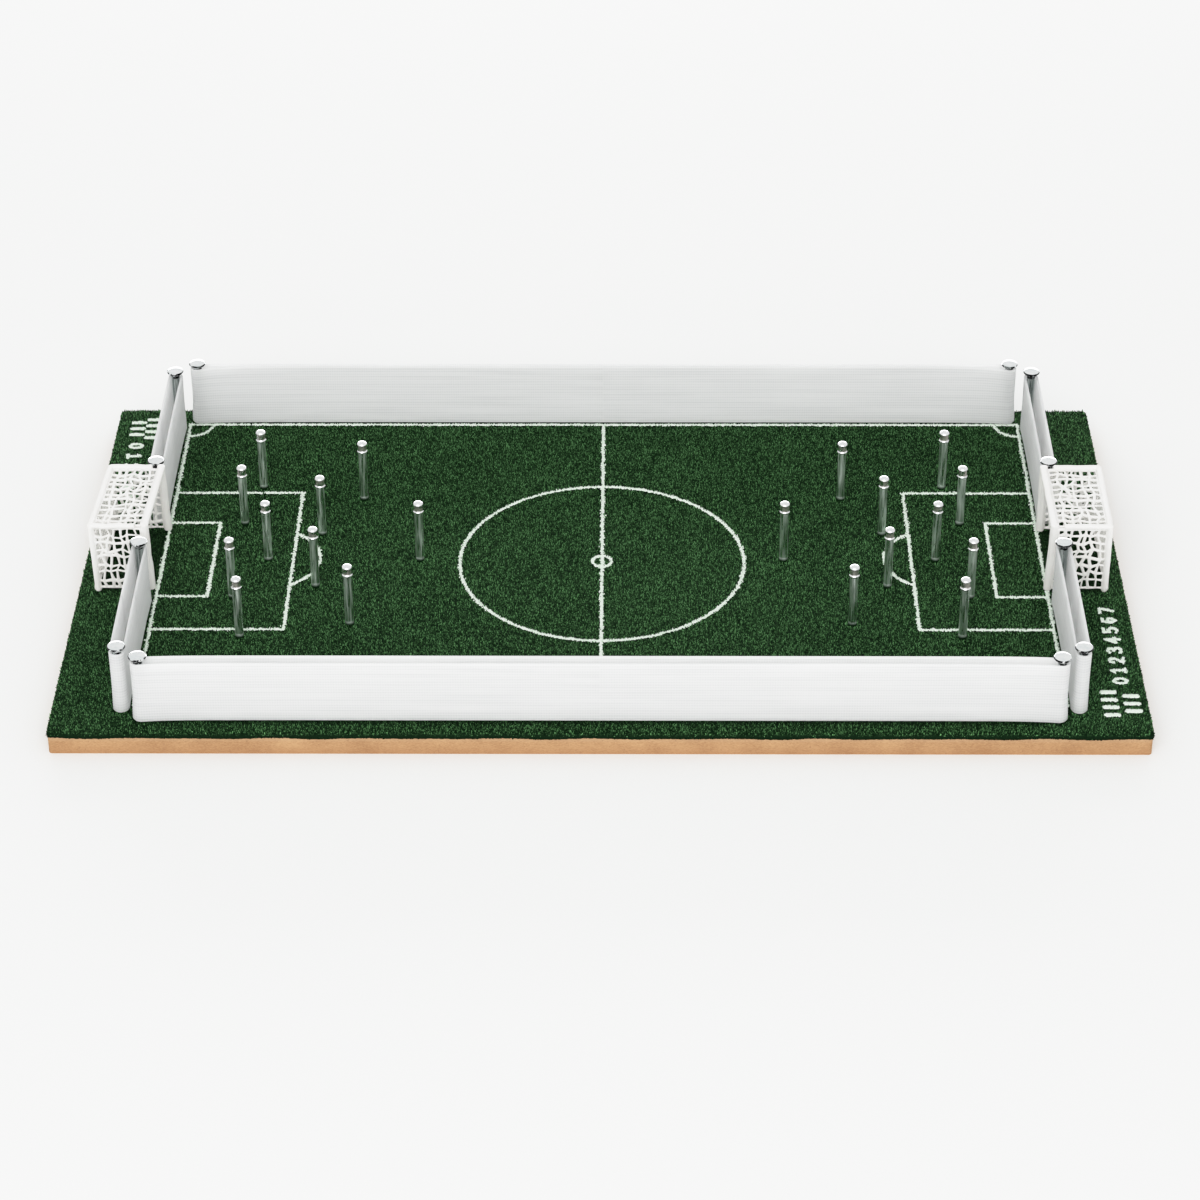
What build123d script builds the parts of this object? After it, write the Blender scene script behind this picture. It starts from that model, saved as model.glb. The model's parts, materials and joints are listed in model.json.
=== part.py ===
from build123d import *
from math import hypot, sin
import os

# Tabletop pin football board. All sizes are in millimetres.
# Origin: centre of the board's underside. +X runs along the board, +Z is up,
# and the two players sit at the -X and +X ends.

# Board and turf
BOARD_LENGTH = 600.0
BOARD_WIDTH = 344.0
BOARD_THICK = 12.0
BOARD_CORNER_R = 2.0
TURF_THICK = 3.0
TURF_CORNER_R = 4.0

# The steel is turned round stock, drawn with this many flats so that all of it stays light
TURNED_SIDES = 12

# Steel wall posts: plain shanks with countersunk heads
POST_SHANK_D = 5.0
POST_HEAD_D = 10.0
POST_HEAD_RIM = 0.6
POST_HEIGHT = 41.2
LONG_WALL_POST_X = 249.2
LONG_WALL_POST_Y = 159.6
END_WALL_POST_X = 261.7
END_WALL_INNER_Y = 44.3
END_WALL_OUTER_Y = 150.1

# Steel player pins: plain shanks with a bevelled collar, a waist and a bevelled cap
PIN_SHANK_D = 4.8
PIN_HEAD_D = 5.9
PIN_WAIST_D = 5.0
PIN_HEIGHT = 40.0
PIN_COLLAR_H = 1.5
PIN_WAIST_H = 1.9
PIN_CAP_H = 2.4
PIN_CROWN_BEVEL = 1.2

# One half of the line-up: distance from the halfway line, then from the middle of the board
PLAYER_SPOTS = [(105.7, 0.0), (142.3, 67.3), (164.5, 28.0), (194.0, 0.0), (203.5, 80.2), (211.2, 39.5)]

# Blind holes in the board that the steel is set in, with the play round it
SEAT_DEPTH = 9.0
SEAT_PLAY = 0.05

# Woven elastic loops, stretched round two posts each
ELASTIC_WIDTH = 37.0
ELASTIC_THICK = 1.3
ELASTIC_PLAY = 0.35
ELASTIC_LIFT = 1.2

# Moulded goals
GOAL_FRONT_X = 255.0
GOAL_DEPTH = 36.0
GOAL_WIDTH = 68.0
GOAL_HEIGHT = 44.4
GOAL_SHIFT_Y = 1.0
GOAL_BAR = 4.4
GOAL_BAR_BEVEL = 1.0
GOAL_RAIL = 2.2
GOAL_FOOT_H = 1.6
GOAL_FOOT_D = 3.8
GOAL_FOOT_BEVEL = 0.7

# Goal nets: grids of gaps whose knots wander
NET_THICK = 1.6
NET_COLUMNS_DEEP = 5
NET_COLUMNS_WIDE = 10
NET_ROWS_HIGH = 7
NET_STRAND_SHARE = 0.36
NET_WANDER_SHARE = 0.2

# Levels
turf_top = BOARD_THICK + TURF_THICK
seat_floor = BOARD_THICK - SEAT_DEPTH
post_top = turf_top + POST_HEIGHT
pin_top = turf_top + PIN_HEIGHT
elastic_bottom = turf_top + ELASTIC_LIFT
elastic_inner_r = POST_SHANK_D / 2 + ELASTIC_PLAY

os.makedirs("parts", exist_ok=True)


def save(piece, name):
    """Label a finished piece and write it under its own name."""
    piece.label = name
    export_step(piece, f"parts/{name}.step")


def wall_post_spots():
    """Name and place of every wall post."""
    spots = {}
    for wall, side_y in (("front", -1), ("back", 1)):
        for end, side_x in (("left", -1), ("right", 1)):
            spots[f"{wall}_wall_post_{end}"] = (side_x * LONG_WALL_POST_X, side_y * LONG_WALL_POST_Y)
    for end, side_x in (("left", -1), ("right", 1)):
        for half, side_y in (("front", -1), ("back", 1)):
            at_x = side_x * END_WALL_POST_X
            spots[f"{end}_{half}_wall_post_inner"] = (at_x, side_y * END_WALL_INNER_Y)
            spots[f"{end}_{half}_wall_post_outer"] = (at_x, side_y * END_WALL_OUTER_Y)
    return spots


def player_pin_spots():
    """Name and place of every player pin, numbered from the halfway line in each half."""
    spots = {}
    for end, side in (("left", -1), ("right", 1)):
        places = []
        for out, across in PLAYER_SPOTS:
            rows = (across, -across) if across else (across,)
            places += [(side * out, y) for y in rows]
        for number, place in enumerate(places, start=1):
            spots[f"{end}_player_pin_{number:02d}"] = place
    return spots


post_spots = wall_post_spots()
pin_spots = player_pin_spots()


def turned_outline(diameter, mode=Mode.ADD):
    """Section of a turned piece, in the sketch that is open."""
    RegularPolygon(diameter / 2, TURNED_SIDES, major_radius=False, mode=mode)


def seats():
    """Cut the seat of every post and pin out of the sketch that is open."""
    with Locations(*post_spots.values()):
        turned_outline(POST_SHANK_D + 2 * SEAT_PLAY, Mode.SUBTRACT)
    with Locations(*pin_spots.values()):
        turned_outline(PIN_SHANK_D + 2 * SEAT_PLAY, Mode.SUBTRACT)


# Base board: one slab, with the seats drilled from above
with BuildPart() as base_board:
    with BuildSketch():
        RectangleRounded(BOARD_LENGTH, BOARD_WIDTH, BOARD_CORNER_R)
    extrude(amount=seat_floor)
    with BuildSketch(Plane.XY.offset(seat_floor)):
        RectangleRounded(BOARD_LENGTH, BOARD_WIDTH, BOARD_CORNER_R)
        seats()
    extrude(amount=SEAT_DEPTH)
save(base_board.part, "base_board")

# Turf mat: glued over the whole board and pierced by the steel
with BuildPart() as turf_mat:
    with BuildSketch(Plane.XY.offset(BOARD_THICK)):
        RectangleRounded(BOARD_LENGTH, BOARD_WIDTH, TURF_CORNER_R)
        seats()
    extrude(amount=TURF_THICK)
save(turf_mat.part, "turf_mat")


def wall_post(x, y):
    """Post with a countersunk head, standing on the floor of its seat."""
    cone = (POST_HEAD_D - POST_SHANK_D) / 2
    head_base = post_top - POST_HEAD_RIM - cone
    with BuildPart() as post:
        with BuildSketch(Plane(origin=(x, y, head_base))):
            turned_outline(POST_HEAD_D)
        extrude(amount=post_top - head_base)
        chamfer(post.edges().group_by(Axis.Z)[0], length=cone)
        with BuildSketch(Plane(origin=(x, y, seat_floor))):
            turned_outline(POST_SHANK_D)
        extrude(amount=head_base - seat_floor)
    return post.part


def player_pin(x, y):
    """Pin built upwards from the floor of its seat: shank, collar, waist and cap."""
    cap_base = pin_top - PIN_CAP_H
    waist_base = cap_base - PIN_WAIST_H
    collar_base = waist_base - PIN_COLLAR_H
    collar_bevel = (PIN_HEAD_D - PIN_WAIST_D) / 2
    lengths = [
        (PIN_SHANK_D, seat_floor, collar_base, 0),
        (PIN_HEAD_D, collar_base, waist_base, collar_bevel),
        (PIN_WAIST_D, waist_base, cap_base, 0),
        (PIN_HEAD_D, cap_base, pin_top, PIN_CROWN_BEVEL),
    ]
    with BuildPart() as pin:
        for diameter, low, high, top_bevel in lengths:
            with BuildSketch(Plane(origin=(x, y, low))):
                turned_outline(diameter)
            extrude(amount=high - low)
            if top_bevel:
                chamfer(pin.edges().group_by(Axis.Z)[-1], length=top_bevel)
    return pin.part


for name, (x, y) in post_spots.items():
    save(wall_post(x, y), name)
for name, (x, y) in pin_spots.items():
    save(player_pin(x, y), name)


def elastic_loop(first, second):
    """Flat elastic stretched round two posts, with both of its runs upright."""
    (x1, y1), (x2, y2) = first, second
    span = hypot(x2 - x1, y2 - y1)
    middle = ((x1 + x2) / 2, (y1 + y2) / 2, elastic_bottom)
    along = Plane(origin=middle, x_dir=(x2 - x1, y2 - y1, 0), z_dir=(0, 0, 1))
    with BuildPart() as loop:
        with BuildSketch(along):
            SlotCenterToCenter(span, 2 * (elastic_inner_r + ELASTIC_THICK))
            SlotCenterToCenter(span, 2 * elastic_inner_r, mode=Mode.SUBTRACT)
        extrude(amount=ELASTIC_WIDTH)
    return loop.part


for wall in ("front", "back"):
    ends = [post_spots[f"{wall}_wall_post_{end}"] for end in ("left", "right")]
    save(elastic_loop(*ends), f"{wall}_elastic")
for end in ("left", "right"):
    for half in ("front", "back"):
        ends = [post_spots[f"{end}_{half}_wall_post_{which}"] for which in ("inner", "outer")]
        save(elastic_loop(*ends), f"{end}_{half}_elastic")

# Clear sizes between the bars of a goal, and the level where its nets start
goal_clear_depth = GOAL_DEPTH - 2 * GOAL_BAR
goal_clear_width = GOAL_WIDTH - 2 * GOAL_BAR
goal_net_base = GOAL_FOOT_H + GOAL_RAIL
goal_clear_height = GOAL_HEIGHT - GOAL_BAR - goal_net_base


def goal_point(side, depth, across, height):
    """A point of the goal on that side, from its front plane, its middle and the turf."""
    return (side * (GOAL_FRONT_X + depth), GOAL_SHIFT_Y + across, turf_top + height)


def goal_frame(side):
    """Moulded frame: mouth open to the field, low rails round the other three sides, four feet."""
    middle = GOAL_DEPTH / 2
    with BuildPart() as frame:
        with BuildSketch(Plane(origin=goal_point(side, middle, 0, GOAL_FOOT_H))):
            Rectangle(GOAL_DEPTH, GOAL_WIDTH)
        extrude(amount=GOAL_HEIGHT - GOAL_FOOT_H)
        chamfer(frame.edges().filter_by(Axis.Z), length=GOAL_BAR_BEVEL)
        chamfer(frame.faces().sort_by(Axis.Z)[-1].edges(), length=GOAL_BAR_BEVEL)
        with BuildSketch(Plane(origin=goal_point(side, middle, 0, 0))):
            Rectangle(goal_clear_depth, goal_clear_width)
        extrude(amount=GOAL_HEIGHT, mode=Mode.SUBTRACT)
        with BuildSketch(Plane(origin=goal_point(side, middle, 0, goal_net_base))):
            Rectangle(goal_clear_depth, GOAL_WIDTH)
            Rectangle(GOAL_DEPTH, goal_clear_width)
        extrude(amount=goal_clear_height, mode=Mode.SUBTRACT)
        with BuildSketch(Plane(origin=goal_point(side, GOAL_BAR / 2, 0, 0))):
            Rectangle(GOAL_BAR, goal_clear_width)
        extrude(amount=goal_net_base, mode=Mode.SUBTRACT)
        with BuildSketch(Plane(origin=goal_point(side, middle, 0, GOAL_FOOT_H))):
            with GridLocations(GOAL_DEPTH - GOAL_BAR, GOAL_WIDTH - GOAL_BAR, 2, 2):
                turned_outline(GOAL_FOOT_D)
        extrude(amount=-GOAL_FOOT_H)
        chamfer(frame.edges().group_by(Axis.Z)[0], length=GOAL_FOOT_BEVEL)
    return frame.part


def net_knots(width, height, columns, rows, seed):
    """Knots of a net that fills width by height, centred, with the inner ones wandering."""
    knots = {}
    for i in range(columns + 1):
        for j in range(rows + 1):
            stray_x = sin(127.1 * i + 311.7 * j + seed) if 0 < i < columns else 0
            stray_y = sin(269.5 * i + 183.3 * j + 2 * seed) if 0 < j < rows else 0
            knots[i, j] = (
                width * ((i + NET_WANDER_SHARE * stray_x) / columns - 0.5),
                height * ((j + NET_WANDER_SHARE * stray_y) / rows - 0.5),
            )
    return knots


def net_gap(corners):
    """Corners of the gap between four knots, each pulled in towards the middle by half a strand."""
    centre_x = sum(x for x, _ in corners) / len(corners)
    centre_y = sum(y for _, y in corners) / len(corners)
    pull = NET_STRAND_SHARE
    return [(x + pull * (centre_x - x), y + pull * (centre_y - y)) for x, y in corners]


def net_panel(plane, width, height, columns, rows, seed):
    """Flat net: one face with a four-sided gap between every four knots, thickened to both sides."""
    knots = net_knots(width, height, columns, rows, seed)

    def closed_wire(points):
        return Wire.make_polygon([plane.from_local_coords((x, y, 0)) for x, y in points])

    gaps = []
    for i in range(columns):
        for j in range(rows):
            around = [knots[i, j], knots[i + 1, j], knots[i + 1, j + 1], knots[i, j + 1]]
            gaps.append(closed_wire(net_gap(around)))
    rim = closed_wire([knots[0, 0], knots[columns, 0], knots[columns, rows], knots[0, rows]])
    with BuildPart() as net:
        extrude(Face(rim, gaps), amount=NET_THICK / 2, both=True)
    return net.part


def goal_nets(side):
    """The four nets of a goal, each filling one opening of the frame at the middle of its bars."""
    inset = GOAL_BAR / 2
    middle = GOAL_DEPTH / 2
    mid_height = goal_net_base + goal_clear_height / 2
    deep, wide, high = NET_COLUMNS_DEEP, NET_COLUMNS_WIDE, NET_ROWS_HIGH
    roof = Plane(origin=goal_point(side, middle, 0, GOAL_HEIGHT - inset))
    rear_at = goal_point(side, GOAL_DEPTH - inset, 0, mid_height)
    rear = Plane(origin=rear_at, x_dir=(0, 1, 0), z_dir=(1, 0, 0))
    nets = {
        "top": net_panel(roof, goal_clear_depth, goal_clear_width, deep, wide, side),
        "rear": net_panel(rear, goal_clear_width, goal_clear_height, wide, high, side + 3),
    }
    for half, across in (("front", -1), ("back", 1)):
        side_at = goal_point(side, middle, across * (GOAL_WIDTH / 2 - inset), mid_height)
        upright = Plane(origin=side_at, x_dir=(1, 0, 0), z_dir=(0, -1, 0))
        seed = side + across + 7
        nets[f"{half}_side"] = net_panel(upright, goal_clear_depth, goal_clear_height, deep, high, seed)
    return nets


for end, side in (("left", -1), ("right", 1)):
    save(goal_frame(side), f"{end}_goal_frame")
    for place, net in goal_nets(side).items():
        save(net, f"{end}_goal_{place}_net")
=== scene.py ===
import json
import math

import bpy
import numpy as np
from mathutils import Matrix, Vector


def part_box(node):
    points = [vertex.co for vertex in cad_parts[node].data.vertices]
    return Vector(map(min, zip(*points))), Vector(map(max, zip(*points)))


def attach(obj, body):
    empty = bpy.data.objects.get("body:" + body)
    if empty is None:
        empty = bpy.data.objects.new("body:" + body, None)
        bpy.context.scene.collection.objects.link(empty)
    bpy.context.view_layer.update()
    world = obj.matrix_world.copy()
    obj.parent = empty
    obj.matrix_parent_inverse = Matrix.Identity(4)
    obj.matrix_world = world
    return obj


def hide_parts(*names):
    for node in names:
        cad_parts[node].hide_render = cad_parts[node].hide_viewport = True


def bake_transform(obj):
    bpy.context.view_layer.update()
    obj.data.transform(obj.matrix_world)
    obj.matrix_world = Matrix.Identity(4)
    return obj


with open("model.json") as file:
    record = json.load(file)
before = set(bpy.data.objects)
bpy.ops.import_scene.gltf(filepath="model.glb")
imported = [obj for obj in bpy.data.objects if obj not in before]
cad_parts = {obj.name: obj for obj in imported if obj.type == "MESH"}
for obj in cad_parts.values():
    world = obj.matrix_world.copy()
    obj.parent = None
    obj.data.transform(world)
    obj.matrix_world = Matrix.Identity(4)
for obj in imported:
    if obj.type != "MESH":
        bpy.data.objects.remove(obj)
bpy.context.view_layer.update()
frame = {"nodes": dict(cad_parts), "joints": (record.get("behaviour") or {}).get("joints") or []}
nodes = frame["nodes"]
MM = 0.001

# The photograph's camera, fitted to the pitch lines, board edges and post heads
IMAGE_SIDE = 1200
FOCAL_PIXELS = 3537.1
SENSOR = 36.0
CAMERA_AT = (0.01376, -1.73272, 1.12769)
CAMERA_PITCH, CAMERA_YAW, CAMERA_ROLL = 33.354, -0.489, -0.205

# Pitch markings, half sizes from the centre spot
LINE_WIDTH = 1.6 * MM
PITCH_MIDDLE_X, CIRCLE_MIDDLE_Y, BOX_MIDDLE_Y = 0.25 * MM, -0.95 * MM, 1.15 * MM
PITCH_HALF_LENGTH, PITCH_HALF_WIDTH = 255.6 * MM, 155.3 * MM
CIRCLE_RADIUS, SPOT_RADIUS, CORNER_RADIUS = 82.7 * MM, 5.6 * MM, 14.2 * MM
PENALTY_DEPTH, PENALTY_HALF_WIDTH = 75.8 * MM, 73.5 * MM
GOAL_BOX_DEPTH, GOAL_BOX_HALF_WIDTH = 29.3 * MM, 39.7 * MM
ARC_SPOT, ARC_RADIUS = 59.2 * MM, 32.1 * MM

# Score numbers and tally strokes along each end margin
NUMBER_X = {-1: 286.2 * MM, 1: 287.5 * MM}
NUMBER_FIRST_Y, NUMBER_STEP = {-1: -129.2 * MM, 1: -122.7 * MM}, {-1: 12.0 * MM, 1: 10.05 * MM}
NUMBER_TALL, NUMBER_WIDE, NUMBER_STROKE = 7.6 * MM, 5.1 * MM, 1.8 * MM
TALLY_X = {-1: (278.0 * MM, 287.5 * MM), 1: (279.5 * MM, 291.5 * MM)}
TALLY_Y, TALLY_STEP, TALLY_TALL = {-1: -150.0 * MM, 1: -144.5 * MM}, 7.2 * MM, 6.6 * MM
TALLY_STROKES, TALLY_EXTRA = (4, 3), 0.5 * MM
MARGIN_X, MARGIN_Y = (271 * MM, 297 * MM), (-165 * MM, -38 * MM)

# Turf: backing, cut pile that bends over the edge, painted pile
BACKING_THICK = 1.0 * MM
TURF_CORNER = 2.6 * MM
PILE_PITCH, PILE_ROOT, PILE_WRAP = 0.88 * MM, 1.2 * MM, 3.4 * MM
PILE_SHORT, PILE_TALL, PILE_LEAN = 0.8 * MM, 2.5 * MM, 0.7 * MM
PILE_TILES, PILE_PUFF, PILE_BACK, PILE_CROWD = 6, 0.4 * MM, 1.6 * MM, 2.2 * MM
PAINT_PITCH, PAINT_FLOOR, PAINT_RISE, PAINT_EDGE_DROP = 0.62 * MM, 3.05 * MM, 0.5 * MM, 0.5 * MM
LINE_RAGGED, NUMBER_RAGGED = 0.34 * MM, 0.12 * MM
# Where painted shade darkens the pile: its roots and the mat's edges, the lines of the walls, and the floors
# of the goals
PILE_LEVEL, MAT_HALF_LENGTH, MAT_HALF_WIDTH = 13.2 * MM, 300.0 * MM, 172.0 * MM
SIDE_WALL_Y, SIDE_WALL_END = 159.6 * MM, 253.0 * MM
END_WALL_X, END_WALL_INNER, END_WALL_OUTER = 261.7 * MM, 41.0 * MM, 153.0 * MM
WALL_SHADE = 2.6 * MM
GOAL_FLOOR_FRONT, GOAL_FLOOR_REAR, GOAL_FLOOR_SIDE = 257.0 * MM, 290.0 * MM, 33.0 * MM

# Steel, turned round
TURNED_SIDES = 40
POST_SHANK, POST_HEAD, POST_RIM, POST_CONE = 2.5 * MM, 5.0 * MM, 1.0 * MM, 2.5 * MM
PIN_SHANK, PIN_HEAD, PIN_WAIST = 2.4 * MM, 2.95 * MM, 2.5 * MM
PIN_CAP_TALL, PIN_WAIST_TALL, PIN_COLLAR_TALL, PIN_COLLAR_BEVEL = 2.0 * MM, 3.8 * MM, 1.3 * MM, 0.6 * MM

# Heights of painted shade on the steel: patches under a post's head and on a pin's waist, and painted green
# shade and reflection of the pile round each foot
POST_HEAD_FROM, POST_CONE_SHADE = 52.7 * MM, (51.6 * MM, 56.1 * MM)
PIN_HEAD_FROM, PIN_WAIST_SHADE = 47.7 * MM, (49.3 * MM, 52.9 * MM)
FOOT_SHADE_TOP, FOOT_SHADE_FADE = 18.4 * MM, 2.4 * MM

# Elastic loops
ELASTIC_RIBS, ELASTIC_RIB_RISE = 22, 0.16 * MM
ELASTIC_TALL, ELASTIC_HALF_THICK, ELASTIC_EDGE_HALF = 37.0 * MM, 0.55 * MM, 0.18 * MM
ELASTIC_FLARE, ELASTIC_SPREAD_LONG, ELASTIC_SPREAD_SHORT = 0.1 * MM, 0.9 * MM, 0.3 * MM
ELASTIC_DIP, ELASTIC_CROWN, ELASTIC_SAG_LONG, ELASTIC_SAG_SHORT = 0.7 * MM, 0.4 * MM, 0.6 * MM, 1.6 * MM
ELASTIC_REACH = 14.0 * MM
ELASTIC_CLOSE = {"back_elastic": (2.2 * MM, 2.8 * MM)}
ELASTIC_CLOSE_CROWN = 1.6 * MM

# Goals: half thickness of each bar, the moulding's lean and twist, and the nets between the bars
GOAL_POST, GOAL_CROSSBAR, GOAL_REAR_POST, GOAL_ROD = 2.3 * MM, 2.1 * MM, 1.9 * MM, 1.7 * MM
GOAL_RAIL, GOAL_FOOT, GOAL_ROD_START, GOAL_LOW = 0.65 * MM, 2.2 * MM, 8.0 * MM, 1.6 * MM
# How far each corner of the moulding stands out from a true box: by depth, then near or far, then low or high
GOAL_CORNERS = {
    "left": np.array([[[1.4, 2.8], [-1.4, 0.0]], [[0.1, 1.5], [-2.2, -2.8]]]) * MM,
    "right": np.array([[[-1.4, 0.3], [0.7, 0.3]], [[0.0, -0.2], [0.0, 0.3]]]) * MM,
}
GOAL_WOBBLE = 0.12 * MM
NET_TOP, NET_SIDE, NET_REAR = (6, 11), (7, 8), (12, 8)
NET_THIN, NET_THICK, NET_WANDER = 0.5 * MM, 1.1 * MM, 0.4

# Studio light, and the camera's shoulder: light as it comes and as it shows
ROOM_LIGHT, FRONT_LIGHT, LOW_LIGHT, BACK_LIGHT = 0.88, 36.0, 15.0, 32.0
SHOULDER = [(0.25, 0.25), (0.5, 0.5), (0.8, 0.75), (1.0, 0.85), (1.2, 0.915), (1.6, 0.96)]
BRIGHTEST = SHOULDER[-1][0]


class Value:
    """A number that varies over a surface. Each operator adds the Math node that works it out."""

    def __init__(self, finish, socket):
        self.finish = finish
        self.socket = socket

    def __add__(self, other):
        return self.finish.maths("ADD", self, other)

    def __sub__(self, other):
        return self.finish.maths("SUBTRACT", self, other)

    def __rsub__(self, other):
        return self.finish.maths("SUBTRACT", other, self)

    def __mul__(self, other):
        return self.finish.maths("MULTIPLY", self, other)

    def __truediv__(self, other):
        return self.finish.maths("DIVIDE", self, other)

    def __gt__(self, other):
        return self.finish.maths("GREATER_THAN", self, other)

    def __lt__(self, other):
        return self.finish.maths("LESS_THAN", self, other)

    def __abs__(self):
        return self.finish.maths("ABSOLUTE", self)

    __radd__ = __add__
    __rmul__ = __mul__


class Finish:
    """A procedural material: one Principled shader and the nodes that feed it."""

    def __init__(self, name, constants):
        self.material = bpy.data.materials.new(name)
        self.material.use_nodes = True
        self.tree = self.material.node_tree
        self.shader = self.tree.nodes["Principled BSDF"]
        for socket, value in constants.items():
            self.shader.inputs[socket].default_value = value

    def feed(self, socket, value):
        if isinstance(value, Value):
            self.tree.links.new(value.socket, socket)
        else:
            socket.default_value = value

    def node(self, kind, settings, sockets, output=0):
        """Adds a node, makes its settings, then gives its sockets their values or links."""
        made = self.tree.nodes.new(kind)
        for key, value in settings.items():
            if key == "stops":
                for stop, (position, colour) in zip(made.color_ramp.elements, value):
                    stop.position = position
                    stop.color = (*colour, 1.0)
            else:
                setattr(made, key, value)
        for key, value in sockets.items():
            self.feed(made.inputs[key], value)
        return Value(self, made.outputs[output])

    def maths(self, operation, first, second=0.0):
        return self.node("ShaderNodeMath", {"operation": operation}, {0: first, 1: second})

    def clamped(self, value):
        return self.node("ShaderNodeClamp", {}, {"Value": value})

    def place(self):
        """The point on the surface, in metres in the object's own frame."""
        return self.node("ShaderNodeTexCoord", {}, {}, "Object")

    def axis(self, where, name):
        return self.node("ShaderNodeSeparateXYZ", {}, {0: where}, name)

    def stretched(self, where, scale):
        return self.node("ShaderNodeVectorMath", {"operation": "MULTIPLY"}, {0: where, 1: scale})

    def noise(self, where, scale, detail=2.0):
        return self.node("ShaderNodeTexNoise", {}, {"Vector": where, "Scale": scale, "Detail": detail})

    def mixed(self, share, first, second):
        return self.node("ShaderNodeMix", {"data_type": "RGBA"}, {0: share, 6: first, 7: second}, 2)

    def ramp(self, value, low, high):
        """Two colours, low at 0.35 and high at 0.65 of the value."""
        stops = [(0.35, low), (0.65, high)]
        return self.node("ShaderNodeValToRGB", {"stops": stops}, {0: value})

    def look(self, **fed):
        """Feeds the shader's sockets, named with underscores, from nodes."""
        for name, value in fed.items():
            self.feed(self.shader.inputs[name.replace("_", " ")], value)
        return self

    def through(self, share, colour):
        """Lets a share of the light behind a thin piece show through it."""
        behind = self.node("ShaderNodeBsdfTranslucent", {}, {"Color": colour})
        mix = {0: share, 1: Value(self, self.shader.outputs[0]), 2: behind}
        surface = self.tree.nodes["Material Output"].inputs["Surface"]
        self.feed(surface, self.node("ShaderNodeMixShader", {}, mix))
        return self

    def bump(self, height, depth, strength=1.0):
        sockets = {"Height": height, "Distance": depth, "Strength": strength}
        self.feed(self.shader.inputs["Normal"], self.node("ShaderNodeBump", {}, sockets))
        return self


def fibreboard_finish():
    """Sawn fibreboard: warm tan, fine fibres along the cut and a few dark flecks; painted highlight on top,
    painted shade low down.
    """
    finish = Finish("fibreboard", {"Roughness": 0.8})
    where = finish.place()
    fibres = finish.noise(finish.stretched(where, (0.35, 0.35, 1.0)), 2600.0, 3.0)
    cloud = finish.noise(where, 60.0, 3.0)
    flecks = finish.noise(where, 800.0, 1.0) > 0.71
    tan = finish.ramp(fibres * 0.6 + cloud * 0.4, (0.325, 0.168, 0.071), (0.502, 0.291, 0.143))
    # painted shade: the edge darkens towards its foot
    foot = finish.clamped(0.75 - finish.axis(where, "Z") / (9.0 * MM))
    # painted highlight: the edge is paler along its top
    top_highlight = finish.clamped((finish.axis(where, "Z") - 7.5 * MM) / (3.5 * MM))
    pale = finish.mixed(top_highlight * 0.4, tan, (0.525, 0.362, 0.240, 1.0))
    shaded = finish.mixed(foot * 0.5, pale, (0.316, 0.140, 0.054, 1.0))
    finish.look(Base_Color=finish.mixed(flecks * 0.35, shaded, (0.20, 0.095, 0.045, 1.0)))
    finish.look(Roughness=fibres * 0.25 + 0.62)
    return finish.bump(fibres, 0.15 * MM, 0.5).material


def pile_finish():
    """Cut pile, each tuft a little different, with painted shade: dark at the root, brighter at the tip,
    and darker along the walls' elastics and inside the goals."""
    finish = Finish("turf pile", {"Specular IOR Level": 0.06})
    where = finish.place()
    tuft = finish.noise(where, 1000.0, 2.0)
    patch = finish.noise(where, 30.0, 3.0)
    cells = {"Vector": finish.stretched(where, (1.0, 0.8, 0.9)), "Scale": 1500.0}
    blade = finish.axis(finish.node("ShaderNodeTexVoronoi", {}, cells, "Color"), "X")
    along, across = abs(finish.axis(where, "X")), abs(finish.axis(where, "Y"))
    up = finish.axis(where, "Z") - PILE_LEVEL
    past = abs(finish.axis(where, "Y") - PILE_BACK / 2) - MAT_HALF_WIDTH - PILE_BACK / 2
    over = finish.maths("MAXIMUM", along - MAT_HALF_LENGTH, past)
    # painted shade: the colour darkens towards the roots; tufts bent over the mat's edge are kept lighter, as
    # tips
    tip = finish.clamped((up + finish.maths("MAXIMUM", over, 0.0) * 2.2) / (2.4 * MM))
    # painted shadow along the lines of the walls and on the goals' floors
    sides = finish.clamped(2.2 - abs(across - SIDE_WALL_Y) / WALL_SHADE) * (along < SIDE_WALL_END)
    ends = finish.clamped(2.2 - abs(along - END_WALL_X) / WALL_SHADE)
    ends = ends * (across < END_WALL_OUTER) * (across > END_WALL_INNER)
    goals = (along > GOAL_FLOOR_FRONT) * (along < GOAL_FLOOR_REAR) * (across < GOAL_FLOOR_SIDE)
    unshaded_share = (1.0 - sides * 0.65) * (1.0 - ends * 0.65) * (1.0 - goals * 0.7)
    shade = (blade - 0.5) * 1.1 + (tuft - 0.5) * 1.2 + (patch - 0.5) * 0.3 + 0.5
    green = finish.ramp(shade, (0.001, 0.022, 0.003), (0.275, 0.665, 0.252))
    # the near-black colour is the painted shade
    finish.look(Base_Color=finish.mixed(tip * tip * unshaded_share, (0.002, 0.012, 0.003, 1.0), green))
    return finish.look(Roughness=0.9 - tuft * 0.35).material


def backing_finish():
    """The woven backing that holds the pile."""
    finish = Finish("turf backing", {"Roughness": 0.9})
    where = finish.place()
    weave = finish.noise(finish.stretched(where, (1.0, 0.4, 1.0)), 1400.0, 2.0)
    finish.look(Base_Color=finish.ramp(weave, (0.006, 0.024, 0.009), (0.020, 0.062, 0.026)))
    return finish.bump(weave, 0.2 * MM).material


def paint_finish():
    """White line paint on the pile, with a little of the green showing through."""
    finish = Finish("line paint", {"Specular IOR Level": 0.3})
    where = finish.place()
    thin = finish.noise(where, 1300.0, 2.0)
    finish.look(Base_Color=finish.ramp(thin, (0.74, 0.94, 0.73), (0.98, 1.0, 0.97)))
    return finish.look(Roughness=thin * 0.3 + 0.6).material


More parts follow.
